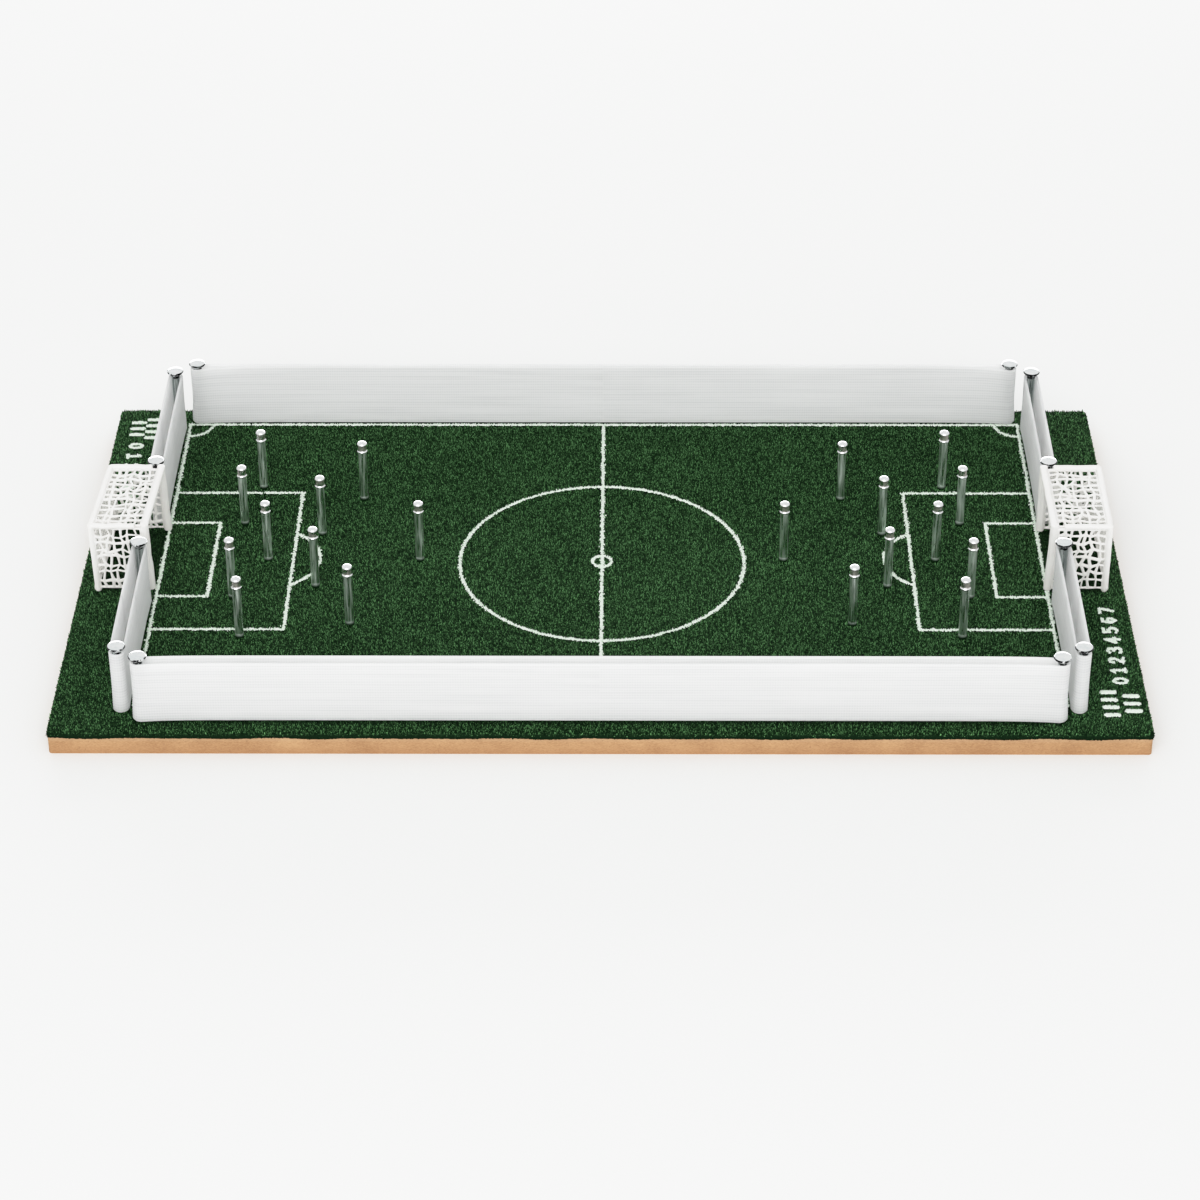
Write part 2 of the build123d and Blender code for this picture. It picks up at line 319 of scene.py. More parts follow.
def steel_finish(name, shank, shank_dull, head, head_from, dark, shade_spot_scale, shade_band_heights):
    """Plated steel: a polished head with a band of painted shade and reflection in patches, and a drawn shank
    with duller streaks, with painted green shade and reflection of the pile round its foot."""
    finish = Finish(name, {"Metallic": 1.0})
    where = finish.place()
    drawn = finish.noise(finish.stretched(where, (1.0, 1.0, 0.06)), 900.0, 2.0)
    haze = finish.noise(where, 240.0, 3.0)
    height = finish.axis(where, "Z")
    above = height > head_from
    streaked = finish.ramp(drawn, *shank)
    plated = finish.mixed(above, streaked, finish.ramp(haze, *head))
    spots = finish.noise(where, shade_spot_scale, 2.0)
    # painted shade and reflection: patches of the darker colour in a band on the head
    band = (height > shade_band_heights[0]) * (height < shade_band_heights[1]) * finish.clamped((spots - 0.38) * 9.0)
    # painted green shade and reflection of the pile round the foot
    foot = finish.clamped((FOOT_SHADE_TOP - height) / FOOT_SHADE_FADE)
    foot_shaded = finish.mixed(foot, plated, (0.012, 0.045, 0.014, 1.0))
    finish.look(Base_Color=finish.mixed(band, foot_shaded, dark))
    dull = shank_dull + (drawn - 0.5) * 0.9
    polished = 0.09 + (haze - 0.5) * 0.06 + band * 0.25
    return finish.look(Roughness=finish.clamped(above * polished + (1.0 - above) * dull + foot)).material


def elastic_finish():
    """Woven elastic: upright threads between the ribs, grey in the gaps as painted shade, with random grey
    streaks.
    """
    finish = Finish("woven elastic", {"Specular IOR Level": 0.25})
    weave = finish.node("ShaderNodeUVMap", {"uv_map": "weave"}, {})
    threads = finish.maths("SINE", finish.axis(weave, "X") * (2 * math.pi / (1.4 * MM))) * 0.5 + 0.5
    turns = 2 * math.pi * ELASTIC_RIBS / ELASTIC_TALL
    ribs = 0.5 - finish.maths("COSINE", finish.axis(weave, "Y") * turns) * 0.5
    fuzz = finish.noise(weave, 3000.0, 2.0)
    drawn = finish.noise(finish.stretched(weave, (0.03, 1.0, 1.0)), 420.0, 2.0)
    # painted shade: grey where the threads and ribs dip; the drawn noise adds random grey streaks
    between = (1.0 - threads) * 0.35 + (1.0 - ribs) * 0.7
    gaps = finish.clamped(between + (fuzz - 0.5) * 0.8 + (drawn - 0.5) * 1.6)
    white, grey = (0.945, 0.945, 0.945, 1.0), (0.72, 0.725, 0.73, 1.0)
    finish.look(Base_Color=finish.mixed(gaps * gaps, white, grey))
    finish.through(0.48, (0.96, 0.96, 0.96, 1.0))
    finish.look(Roughness=fuzz * 0.2 + 0.72)
    return finish.bump(threads * 0.6 + fuzz * 0.4, 0.12 * MM, 0.6).material


def plastic_finish():
    """Ivory moulded plastic with a faint ripple and uneven gloss, thin enough for light to come through."""
    finish = Finish("goal plastic", {})
    where = finish.place()
    ripple = finish.noise(where, 420.0, 3.0)
    cloud = finish.noise(where, 45.0, 2.0)
    ivory = finish.ramp(cloud * 0.7 + ripple * 0.3, (0.945, 0.93, 0.905), (0.985, 0.98, 0.97))
    # darker and warmer towards the bottom, in clouds
    towards_bottom = finish.clamped((36.0 * MM - finish.axis(where, "Z")) / (20.0 * MM))
    finish.look(Base_Color=finish.mixed(towards_bottom * cloud * 0.35, ivory, (0.84, 0.76, 0.68, 1.0)))
    finish.through(0.22, (0.97, 0.95, 0.93, 1.0))
    finish.look(Roughness=ripple * 0.25 + 0.36)
    return finish.bump(ripple, 0.08 * MM, 0.5).material


def floor_finish():
    """Plain pale studio paper."""
    finish = Finish("studio paper", {"Specular IOR Level": 0.2})
    grain = finish.noise(finish.place(), 900.0, 2.0)
    finish.look(Base_Color=finish.ramp(grain, (0.900, 0.905, 0.898), (0.920, 0.925, 0.918)))
    return finish.look(Roughness=grain * 0.1 + 0.85).material


def piece_of(name, points, faces, material, body="board", flat=None):
    """A mesh piece from arrays: points in metres, and faces that all have the same number of corners.
    Where its points have places on a flat sheet, these become its map."""
    points = np.asarray(points, np.float32)
    faces = np.asarray(faces, np.int32)
    mesh = bpy.data.meshes.new(name)
    mesh.vertices.add(len(points))
    mesh.vertices.foreach_set("co", points.ravel())
    mesh.loops.add(faces.size)
    mesh.loops.foreach_set("vertex_index", faces.ravel())
    mesh.polygons.add(len(faces))
    mesh.polygons.foreach_set("loop_start", np.arange(0, faces.size, faces.shape[1], dtype=np.int32))
    mesh.update(calc_edges=True)
    mesh.validate()
    if flat is not None:
        spread = 0.002 + 0.996 * (flat - flat.min(axis=0)) / np.ptp(flat, axis=0).max()
        spread = spread[faces.ravel()].astype(np.float32)
        mesh.uv_layers.new(name="OFBake").data.foreach_set("uv", spread.ravel())
    mesh.materials.append(material)
    piece = bpy.data.objects.new(name, mesh)
    bpy.context.scene.collection.objects.link(piece)
    if body:
        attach(piece, body)
    return piece


def smoothed(piece, degrees):
    """Shades a piece smooth, with creases where its faces meet at more than this angle."""
    piece.data.shade_smooth()
    piece.data.set_sharp_from_angle(angle=math.radians(degrees))
    return piece


def eased(value, start, stop):
    """0 before start, 1 after stop, and smooth between."""
    share = np.clip((value - start) / (stop - start), 0.0, 1.0)
    return share * share * (3 - 2 * share)


def segment_distance(x, y, start, end):
    """How far points are from a straight stretch."""
    (ax, ay), (bx, by) = start, end
    dx, dy = bx - ax, by - ay
    along = np.clip(((x - ax) * dx + (y - ay) * dy) / (dx * dx + dy * dy), 0.0, 1.0)
    return np.hypot(x - ax - along * dx, y - ay - along * dy)


def line_distance(x, y):
    """How far points of the turf are from the middle of the nearest pitch line."""
    x, across, y = np.abs(x - PITCH_MIDDLE_X), np.abs(y - BOX_MIDDLE_Y), y - CIRCLE_MIDDLE_Y
    centre = np.hypot(x, y)
    y = np.abs(y + CIRCLE_MIDDLE_Y)
    length, width = PITCH_HALF_LENGTH, PITCH_HALF_WIDTH
    penalty, box = length - PENALTY_DEPTH, length - GOAL_BOX_DEPTH
    arc = np.abs(np.hypot(x - (length - ARC_SPOT), across) - ARC_RADIUS)
    corner = np.abs(np.hypot(x - length, y - width) - CORNER_RADIUS)
    far = 1.0
    return np.minimum.reduce([
        segment_distance(x, y, (0, width), (length, width)),
        segment_distance(x, y, (length, 0), (length, width)),
        segment_distance(x, y, (0, 0), (0, width)),
        segment_distance(x, across, (penalty, 0), (penalty, PENALTY_HALF_WIDTH)),
        segment_distance(x, across, (penalty, PENALTY_HALF_WIDTH), (length, PENALTY_HALF_WIDTH)),
        segment_distance(x, across, (box, 0), (box, GOAL_BOX_HALF_WIDTH)),
        segment_distance(x, across, (box, GOAL_BOX_HALF_WIDTH), (length, GOAL_BOX_HALF_WIDTH)),
        np.abs(centre - CIRCLE_RADIUS),
        np.abs(centre - SPOT_RADIUS),
        np.where(x < penalty, arc, far),
        np.where((x < length) & (y < width), corner, far),
    ])


# The strokes of each figure, in shares of its width and height
FIGURE_STROKES = {
    0: [[(.5, 1), (.86, .82), (.95, .5), (.86, .18), (.5, 0), (.14, .18), (.05, .5), (.14, .82), (.5, 1)]],
    1: [[(.2, .8), (.55, 1), (.55, 0)], [(.2, 0), (.9, 0)]],
    2: [[(.08, .74), (.25, .96), (.65, 1), (.9, .76), (.75, .5), (.08, 0), (.95, 0)]],
    3: [[
        (.08, .88), (.45, 1), (.85, .84), (.82, .62), (.42, .53), (.9, .38), (.88, .13), (.5, 0), (.05, .12),
    ]],
    4: [[(.68, 0), (.68, 1), (.03, .3), (1, .3)]],
    5: [[(.9, 1), (.2, 1), (.14, .56), (.55, .62), (.92, .42), (.86, .14), (.5, 0), (.08, .1)]],
    6: [[(.82, .95), (.42, .95), (.1, .62), (.1, .25), (.5, 0), (.9, .2), (.86, .45), (.5, .57), (.14, .4)]],
    7: [[(.05, 1), (.95, 1), (.42, 0)]],
}


def figure_distance(x, y, end):
    """How far points are from the score numbers and tally strokes at one end, 1 right or -1 left."""
    x, y = x * end, y * end
    nearest = np.ones_like(x)
    for figure, strokes in FIGURE_STROKES.items():
        middle = NUMBER_FIRST_Y[end] + figure * NUMBER_STEP[end]
        for stroke in strokes:
            spots = [
                (NUMBER_X[end] + (0.5 - v) * NUMBER_TALL, middle + (u - 0.5) * NUMBER_WIDE)
                for u, v in stroke
            ]
            for start, stop in zip(spots, spots[1:]):
                nearest = np.minimum(nearest, segment_distance(x, y, start, stop))
    for row, strokes in zip(TALLY_X[end], TALLY_STROKES):
        for stroke in range(strokes):
            at = TALLY_Y[end] + (stroke - (strokes - 1) / 2) * TALLY_STEP
            start, stop = (row - TALLY_TALL / 2, at), (row + TALLY_TALL / 2, at)
            nearest = np.minimum(nearest, segment_distance(x, y, start, stop) - TALLY_EXTRA)
    return nearest


def tuft_faces(corners, tips):
    """Four triangles from each cell's corners, in order round it, to its tip."""
    sides = [np.stack([corners[:, k], corners[:, (k + 1) % 4], tips], axis=1) for k in range(4)]
    return np.concatenate(sides)


def turf_pile(turf_low, turf_high, material):
    """Cut pile over the whole mat, one tuft to a cell, bent down over the mat's edge."""
    rng = np.random.default_rng(7)
    half = np.array([(turf_high.x - turf_low.x) / 2, (turf_high.y - turf_low.y) / 2])
    root = turf_low.z + PILE_ROOT
    reach = half + PILE_WRAP
    cells = np.round(2 * reach / PILE_PITCH).astype(int)
    grid = np.meshgrid(*(np.linspace(-r, r, n + 1) for r, n in zip(reach, cells)), indexing="ij")
    flat = np.stack(grid, axis=-1)
    flat += rng.uniform(-0.3, 0.3, flat.shape) * PILE_PITCH
    centres = (flat[:-1, :-1] + flat[1:, :-1] + flat[1:, 1:] + flat[:-1, 1:]) / 4

    def laid(spots):
        """Points of the flat grid laid on the mat: past the edge they go down its side. Also the way out.
        At the back the mat is cut a little long."""
        inner = np.clip(spots, TURF_CORNER - half, half - TURF_CORNER)
        out = spots - inner
        far = np.linalg.norm(out, axis=-1, keepdims=True)
        ragged = 0.86 + 0.14 * np.sin(spots @ (23.0, 31.0) + 1.3) * np.sin(spots @ (127.0, 149.0))
        drop = np.clip(far - TURF_CORNER, 0.0, PILE_WRAP) * ragged[..., None]
        way = out / np.maximum(far, 1e-9)
        puff = PILE_PUFF * np.clip(drop / (0.8 * MM), 0.0, 1.0)
        plan = np.where(far > TURF_CORNER, inner + way * (TURF_CORNER + puff), spots)
        plan[..., 1] += PILE_BACK * eased(plan[..., 1], half[1] - 14 * MM, half[1])
        return np.concatenate([plan, root - drop], axis=-1), way, drop / PILE_WRAP

    feet, _, _ = laid(flat)
    feet[..., 2] += rng.uniform(-0.15, 0.15, feet.shape[:2]) * MM
    base, way, over = laid(centres)
    height = rng.uniform(PILE_SHORT, PILE_TALL, centres.shape[:2] + (1,))
    painted = line_distance(base[..., 0], base[..., 1]) < LINE_WIDTH / 2
    for end in (-1, 1):
        painted |= figure_distance(base[..., 0], base[..., 1], end) < NUMBER_STROKE / 2
    height[painted] *= 0.35
    for pin in (node for node in nodes if "_player_pin" in node):
        low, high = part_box(pin)
        away = np.hypot(base[..., 0] - (low.x + high.x) / 2, base[..., 1] - (low.y + high.y) / 2)
        height[away < PIN_SHANK + PILE_CROWD] += PILE_SHORT / 2
    bend = np.clip(over * 1.6, 0.0, 0.9)
    tips = base.copy()
    tips[..., 2:] += height * (1 - bend) - bend * 0.3 * MM
    tips[..., :2] += way * bend * height * 0.15
    lean = rng.normal(0.0, PILE_LEAN / 2, tips[..., :2].shape)
    inward = np.minimum((lean * way).sum(axis=-1, keepdims=True), 0.0)
    tips[..., :2] += lean - way * inward
    columns = np.array_split(np.arange(cells[0]), PILE_TILES)
    pieces = []
    for number, column in enumerate(columns, 1):
        first, last = column[0], column[-1] + 1
        points = np.concatenate([
            feet[first:last + 1].reshape(-1, 3),
            tips[first:last].reshape(-1, 3),
        ])
        i, j = (a.ravel() for a in np.meshgrid(np.arange(last - first), np.arange(cells[1]), indexing="ij"))
        row = cells[1] + 1
        corners = np.stack([i * row + j, (i + 1) * row + j, (i + 1) * row + j + 1, i * row + j + 1], axis=1)
        ends = (last - first + 1) * row + i * cells[1] + j
        sheet = np.concatenate([flat[first:last + 1].reshape(-1, 2), centres[first:last].reshape(-1, 2)])
        tufts = tuft_faces(corners, ends)
        pieces.append(piece_of(f"turf_pile_{number}", points, tufts, material, flat=sheet))
    return pieces


def painted_tufts(name, low, high, inside, floor, material, seed):
    """Painted pile in those cells of a fine grid whose middles are inside. Its ragged edges slope down."""
    rng = np.random.default_rng(seed)
    cells = np.round((np.array(high) - low) / PAINT_PITCH).astype(int)
    grid = np.meshgrid(*(np.linspace(a, b, n + 1) for a, b, n in zip(low, high, cells)), indexing="ij")
    flat = np.stack(grid, axis=-1)
    flat += rng.uniform(-0.38, 0.38, flat.shape) * PAINT_PITCH
    centres = (flat[:-1, :-1] + flat[1:, :-1] + flat[1:, 1:] + flat[:-1, 1:]) / 4
    i, j = np.nonzero(inside(centres[..., 0], centres[..., 1], rng))
    row = cells[1] + 1
    corners = np.stack([i * row + j, (i + 1) * row + j, (i + 1) * row + j + 1, i * row + j + 1], axis=1)
    used, corners, uses = np.unique(corners, return_inverse=True, return_counts=True)
    corners = corners.reshape(-1, 4)
    feet = np.full((len(used), 3), floor)
    feet[:, :2] = flat.reshape(-1, 2)[used]
    feet[:, 2] -= np.where(uses < 4, PAINT_EDGE_DROP, 0.0)
    tips = np.full((len(i), 3), floor)
    tips[:, :2] = centres[i, j] + rng.normal(0.0, 0.12 * MM, (len(i), 2))
    tips[:, 2] += rng.uniform(0.5, 1.2, len(i)) * PAINT_RISE
    faces = tuft_faces(corners, len(feet) + np.arange(len(i)))
    sheet = np.concatenate([feet[:, :2], centres[i, j]])
    return piece_of(name, np.concatenate([feet, tips]), faces, material, flat=sheet)


def rounded_slab(name, low, high, corner, material):
    """A thin slab with rounded corners, closed."""
    arc = np.radians(np.linspace(0, 90, 7))
    outline = []
    for turn, (sx, sy) in enumerate([(1, 1), (-1, 1), (-1, -1), (1, -1)]):
        cx = (high.x - corner) if sx > 0 else (low.x + corner)
        cy = (high.y - corner) if sy > 0 else (low.y + corner)
        angles = arc + turn * math.pi / 2
        outline += list(zip(cx + corner * np.cos(angles), cy + corner * np.sin(angles)))
    count = len(outline)
    mesh = bpy.data.meshes.new(name)
    points = [(x, y, z) for z in (low.z, high.z) for x, y in outline]
    walls = [(k, (k + 1) % count, count + (k + 1) % count, count + k) for k in range(count)]
    mesh.from_pydata(points, [], [list(range(count))[::-1], list(range(count, 2 * count)), *walls])
    mesh.materials.append(material)
    piece = bpy.data.objects.new(name, mesh)
    bpy.context.scene.collection.objects.link(piece)
    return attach(piece, "board")


def make_turf():
    """The mat in place of its plain solid: backing, pile, white lines and score numbers."""
    low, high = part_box("turf_mat")
    top = Vector((high.x, high.y, low.z + BACKING_THICK))
    backing = rounded_slab("turf_backing", low, top, TURF_CORNER, backing_finish())
    pile = turf_pile(low, high, pile_finish())
    paint = paint_finish()
    floor = low.z + PAINT_FLOOR
    reach = np.array([PITCH_HALF_LENGTH, PITCH_HALF_WIDTH]) + LINE_WIDTH

    def on_line(x, y, rng):
        # painted shadow: the lines are left out near the front corners, where the walls' shadow falls
        shadowed_corners = (np.abs(x) > PITCH_HALF_LENGTH - 4 * MM) & (y < 8 * MM - PITCH_HALF_WIDTH)
        return ~shadowed_corners & (line_distance(x, y) < LINE_WIDTH / 2 + rng.normal(0.0, LINE_RAGGED, x.shape))

    lines = painted_tufts("pitch_lines", -reach, reach, on_line, floor, paint, 11)
    for side, end in (("left", -1), ("right", 1)):
        near, far = sorted(end * x for x in MARGIN_X)
        first, last = sorted(end * y for y in MARGIN_Y)

        def on_figure(x, y, rng, end=end):
            return figure_distance(x, y, end) < NUMBER_STROKE / 2 + rng.normal(0.0, NUMBER_RAGGED, x.shape)

        corners = (near, first), (far, last)
        painted_tufts(f"{side}_score_numbers", *corners, on_figure, floor, paint, 13)
    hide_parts("turf_mat")


def spun(name, spot, outline, material, node):
    """A turned piece: an outline of (radius, height) from the bottom to the top, closed on its axis."""
    turn = np.linspace(0, 2 * math.pi, TURNED_SIDES, endpoint=False)
    rings = [(r, z) for r, z in outline if r > 0]
    points = [(spot[0] + r * math.cos(a), spot[1] + r * math.sin(a), z) for r, z in rings for a in turn]
    points += [(spot[0], spot[1], outline[0][1]), (spot[0], spot[1], outline[-1][1])]
    faces = []
    for ring in range(len(rings) - 1):
        for k in range(TURNED_SIDES):
            after = (k + 1) % TURNED_SIDES
            low, high = ring * TURNED_SIDES, (ring + 1) * TURNED_SIDES
            faces.append((low + k, low + after, high + after, high + k))
    top = (len(rings) - 1) * TURNED_SIDES
    for k in range(TURNED_SIDES):
        after = (k + 1) % TURNED_SIDES
        faces.append((len(points) - 2, after, k))
        faces.append((len(points) - 1, top + k, top + after))
    mesh = bpy.data.meshes.new(name)
    mesh.from_pydata(points, [], faces)
    mesh.materials.append(material)
    piece = bpy.data.objects.new(name, mesh)
    bpy.context.scene.collection.objects.link(piece)
    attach(smoothed(piece, 32), "board")
    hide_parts(node)
    return piece


def post_outline(low, high):
    """A wall post: plain shank, countersunk head, bevelled rim and a barely crowned top."""
    soft = 0.08 * MM
    bevel = 5 * soft
    cone = high - POST_RIM - POST_CONE
    return [
        (0, low), (POST_SHANK, low), (POST_SHANK, cone - soft), (POST_SHANK + soft / 2, cone + soft),
        (POST_HEAD - soft, high - POST_RIM - soft), (POST_HEAD, high - POST_RIM + soft),
        (POST_HEAD, high - bevel - soft), (POST_HEAD - soft, high - bevel), (POST_HEAD - bevel, high - soft),
        (POST_HEAD - bevel - 2 * soft, high - soft / 3), (POST_HEAD / 2, high), (0, high),
    ]


def pin_outline(low, high):
    """A player pin: shank, bevelled collar, narrow waist and a domed cap."""
    soft = 0.12 * MM
    cap = high - PIN_CAP_TALL
    waist = cap - PIN_WAIST_TALL
    collar = waist - PIN_COLLAR_TALL
    shoulder = collar + PIN_COLLAR_TALL - PIN_COLLAR_BEVEL
    dome = [math.radians(a) for a in range(12, 90, 13)]
    return [
        (0, low), (PIN_SHANK, low), (PIN_SHANK, collar - soft), (PIN_SHANK + soft, collar),
        (PIN_HEAD - soft, collar + soft), (PIN_HEAD, collar + 2 * soft), (PIN_HEAD, shoulder),
        (PIN_HEAD - soft, shoulder + soft), (PIN_WAIST, waist), (PIN_WAIST - soft / 2, waist + 3 * soft),
        (PIN_WAIST - soft / 2, cap - 2 * soft), (PIN_WAIST + soft, cap - soft), (PIN_HEAD - soft, cap),
        (PIN_HEAD, cap + 2 * soft),
        *((PIN_HEAD * math.cos(a), cap + 2 * soft + (PIN_CAP_TALL - 2 * soft) * math.sin(a)) for a in dome),
        (0, high),
    ]


def make_steel():
    """Round posts and pins in place of their faceted solids."""
    shank, head = ((0.20, 0.24, 0.23), (0.66, 0.71, 0.70)), ((0.84, 0.88, 0.89), (0.96, 0.97, 0.975))
    # near black: the painted shade under a post's head
    dark = (0.006, 0.006, 0.007, 1.0)
    post_steel = steel_finish("plated post steel", shank, 0.2, head, POST_HEAD_FROM, dark, 420.0, POST_CONE_SHADE)
    # the pins' shanks are tinted green: a painted reflection of the pile
    shank, head = ((0.66, 0.76, 0.69), (0.86, 0.94, 0.88)), ((0.86, 0.87, 0.88), (0.96, 0.965, 0.97))
    # warm grey: the painted shade and reflection on a pin's waist
    dark = (0.72, 0.67, 0.63, 1.0)
    pin_steel = steel_finish("polished pin steel", shank, 0.34, head, PIN_HEAD_FROM, dark, 240.0, PIN_WAIST_SHADE)
    for node in sorted(nodes):
        kind = "post" if "_wall_post" in node else "pin" if "_player_pin" in node else None
        if kind is None:
            continue
        low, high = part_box(node)
        spot = ((low.x + high.x) / 2, (low.y + high.y) / 2)
        outline = post_outline if kind == "post" else pin_outline
        steel = post_steel if kind == "post" else pin_steel
        spun(f"{node}_turned", spot, outline(low.z, high.z), steel, node)


def elastic_half(name, node, post, other, material):
    """Half of an elastic loop: round one post and along both runs to mid-span, where its twin takes over.
    It flares a little under the post's head and more at its foot. Its middle bows while its post end stays.
    Where the runs close up, they lean together towards the top."""
    low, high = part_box(node)
    post, other = np.array(post), np.array(other)
    middle = (post + other) / 2
    span = np.linalg.norm(middle - post)
    along = (middle - post) / span
    side = np.array([-along[1], along[0]])
    radius = min(high.x - low.x, high.y - low.y) / 2 - ELASTIC_HALF_THICK
    runs = max(8, round(span / (9 * MM)))
    away = span * (1 - np.linspace(0, 1, runs, endpoint=False) ** 0.8)
    turn = np.linspace(0, math.pi, 21)
    distance = np.concatenate([away, np.zeros(len(turn)), away[::-1]])
    angle = np.concatenate([np.zeros(runs), turn, np.full(runs, math.pi)])
    axis = post + distance[:, None] * along
    out = np.cos(angle)[:, None] * side - np.sin(angle)[:, None] * along
    near = np.exp(-distance / ELASTIC_REACH)

    rows = 2 * ELASTIC_RIBS + 1
    share = np.linspace(0, 1, rows)
    rib = np.where(np.arange(rows) % 2 == 1, ELASTIC_RIB_RISE, 0.0)
    thick = np.full(rows, ELASTIC_HALF_THICK)
    thick[[0, -1]] = ELASTIC_EDGE_HALF
    long_loop = span > 100 * MM
    spread = ELASTIC_SPREAD_LONG if long_loop else ELASTIC_SPREAD_SHORT
    sag = ELASTIC_SAG_LONG if long_loop else ELASTIC_SAG_SHORT
    pull = ELASTIC_FLARE * eased(share, 0.55, 1.0) + spread * (1 - eased(share, 0.0, 0.5))
    bottom = low.z - sag * near
    dip, crown = (0.0, ELASTIC_CLOSE_CROWN) if node in ELASTIC_CLOSE else (ELASTIC_DIP, ELASTIC_CROWN)
    top = high.z + crown * (1 - near) - dip * near
    height = bottom[:, None] + (top - bottom)[:, None] * share
    close = np.where(out[:, 1] < 0, *ELASTIC_CLOSE.get(node, (0.0, 0.0))) * (1 - near)
    centre = radius + near[:, None] * pull - close[:, None] * share

    def skin(offset):
        far = centre + offset
        plan = axis[:, None, :] + out[:, None, :] * far[:, :, None]
        return np.concatenate([plan, height[:, :, None]], axis=2)

    ring = np.concatenate([skin(thick + rib), skin(-thick - rib)[:, ::-1]], axis=1)
    steps, around = ring.shape[:2]
    s, k = (a.ravel() for a in np.meshgrid(np.arange(steps - 1), np.arange(around), indexing="ij"))
    after = (k + 1) % around
    this, following = s * around, (s + 1) * around
    wall = np.stack([this + k, this + after, following + after, following + k], axis=1)
    row = np.arange(rows - 1)
    start = np.stack([row + 1, row, around - 1 - row, around - 2 - row], axis=1)
    stop = start[:, ::-1] + (steps - 1) * around
    piece = piece_of(name, ring.reshape(-1, 3), np.concatenate([wall, start, stop]), material, body=None)
    smoothed(piece, 50)
    length = np.concatenate([[0], np.cumsum(np.linalg.norm(np.diff(ring[:, rows // 2, :2], axis=0), axis=1))])
    up = np.concatenate([share, share[::-1]]) * (high.z - low.z)
    weave = np.stack(np.broadcast_arrays(length[:, None], up[None, :]), axis=-1).reshape(-1, 2)
    corners = np.empty(len(piece.data.loops), np.int32)
    piece.data.loops.foreach_get("vertex_index", corners)
    piece.data.uv_layers.new(name="weave").data.foreach_set("uv", weave[corners].astype(np.float32).ravel())
    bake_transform(piece)
    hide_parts(node)
    return piece, float(length[-1])


def make_elastics():
    """Six loops, each as two halves that meet at mid-span."""
    material = elastic_finish()
    for joint in frame["joints"]:
        body = joint["child"]
        node = body.replace("_wall", "_elastic")
        ends = sorted(n for n in nodes if n.startswith(f"{body}_post_"))
        spots = {}
        for post in ends:
            low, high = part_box(post)
            spots[post] = ((low.x + high.x) / 2, (low.y + high.y) / 2)
        for post, twin in (ends, ends[::-1]):
            name = post.replace("_wall_post_", "_elastic_")
            piece, length = elastic_half(name, node, spots[post], spots[twin], material)
            low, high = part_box(node)


def tube(path, radii, squareness=2.0):
    """An eight-sided tube along points, round, or squarer as squareness grows, with closed ends."""
    path = np.asarray(path)
    run = np.gradient(path, axis=0)
    run /= np.linalg.norm(run, axis=1, keepdims=True)
    aside = (0.0, 0.0, 1.0) if abs(run[0, 2]) < 0.7 else (0.0, 1.0, 0.0)
    level = np.cross(run, aside)
    level /= np.linalg.norm(level, axis=1, keepdims=True)
    upright = np.cross(level, run)
    turn = np.arange(8) * math.pi / 4 + math.pi / 8
    c, s = np.cos(turn), np.sin(turn)
    reach = (np.abs(c) ** squareness + np.abs(s) ** squareness) ** (-1 / squareness)
    ring = level[:, None, :] * (c * reach)[:, None] + upright[:, None, :] * (s * reach)[:, None]
    points = path[:, None, :] + ring * np.broadcast_to(radii, len(path))[:, None, None]
    i, k = (a.ravel() for a in np.meshgrid(np.arange(len(path) - 1), np.arange(8), indexing="ij"))
    after = (k + 1) % 8
    wall = np.stack([i * 8 + k, i * 8 + after, (i + 1) * 8 + after, (i + 1) * 8 + k], axis=1)
    end = np.array([(0, 7, 6, 1), (1, 6, 5, 2), (2, 5, 4, 3)])
    return points.reshape(-1, 3), np.concatenate([wall, end, end[:, ::-1] + (len(path) - 1) * 8])


def moulded(name, tubes, voxel, softenings, material):
    """Tubes run together into one moulded skin with soft joints."""
    counts = np.cumsum([0] + [len(points) for points, _ in tubes])
    points = np.concatenate([points for points, _ in tubes])
    faces = np.concatenate([faces + count for (_, faces), count in zip(tubes, counts)])
    piece = piece_of(name, points, faces, material)
    skin = piece.modifiers.new("one skin", "REMESH")
    skin.mode = "VOXEL"
    skin.voxel_size = voxel
    skin.use_smooth_shade = True
    soft = piece.modifiers.new("softened", "SMOOTH")
    soft.factor = 0.5
    soft.iterations = softenings
    return piece


